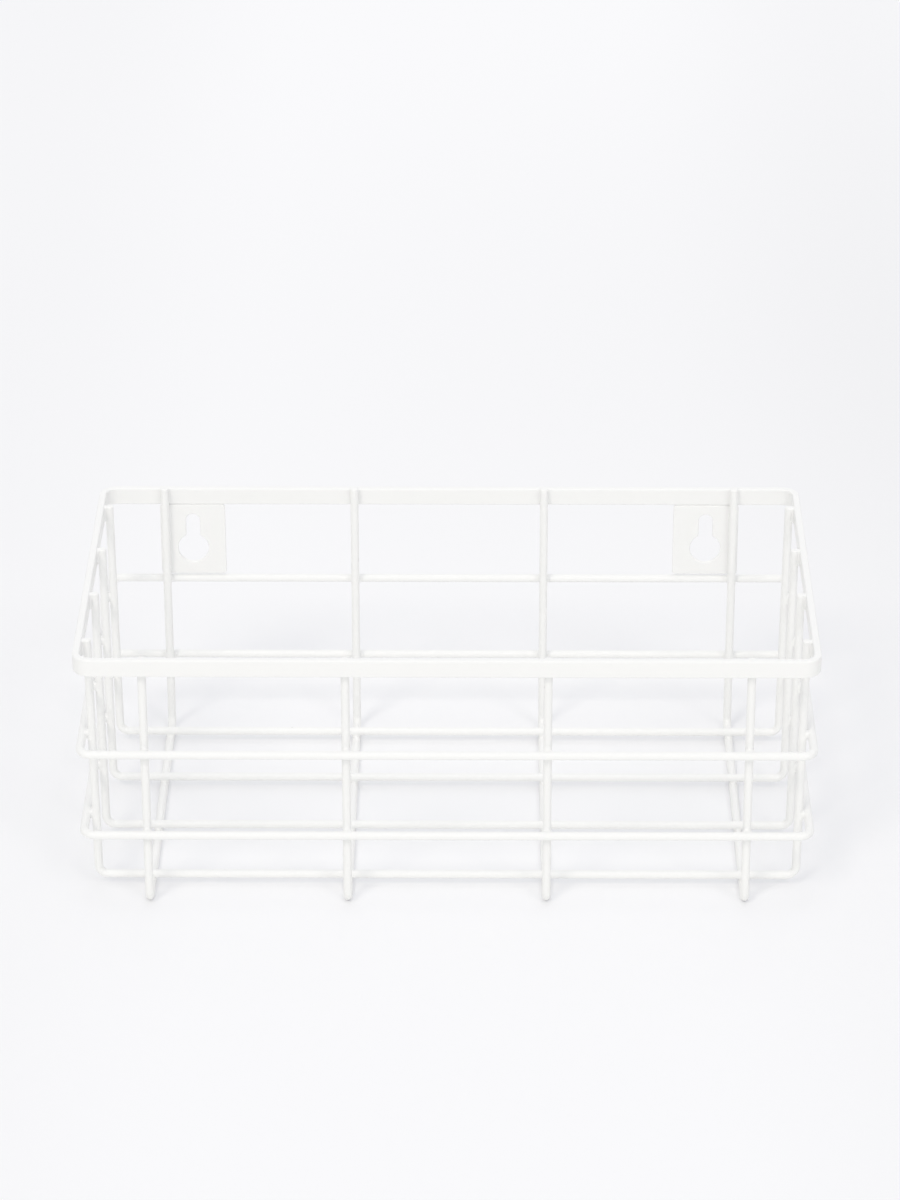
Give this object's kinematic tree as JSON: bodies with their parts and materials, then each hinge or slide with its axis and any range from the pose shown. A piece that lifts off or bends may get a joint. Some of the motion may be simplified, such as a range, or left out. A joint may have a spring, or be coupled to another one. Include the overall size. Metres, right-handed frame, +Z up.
{
  "type": "wall basket",
  "caption": "Shallow rectangular basket of welded wire with a flat bar rim and keyhole plates at the back, to hang on a wall or stand on a shelf.",
  "frame": {"origin": "centre of the basket's width and depth, on the surface that it stands on", "axes": "+X to the right seen from the front, +Y to the wall that it hangs on, +Z up"},
  "size_m": [0.3002, 0.161, 0.1169],
  "materials": {
    "powder_coat": "white powder coat on steel, satin, slightly warm"
  },
  "bodies": {
    "root": {"rim": "powder_coat", "ring_upper": "powder_coat", "ring_lower": "powder_coat", "depth_wire_1": "powder_coat", "depth_wire_2": "powder_coat", "depth_wire_3": "powder_coat", "depth_wire_4": "powder_coat", "long_wire_1": "powder_coat", "long_wire_2": "powder_coat", "long_wire_3": "powder_coat", "long_wire_4": "powder_coat", "keyhole_plate_left": "powder_coat", "keyhole_plate_right": "powder_coat"}
  },
  "joints": []
}
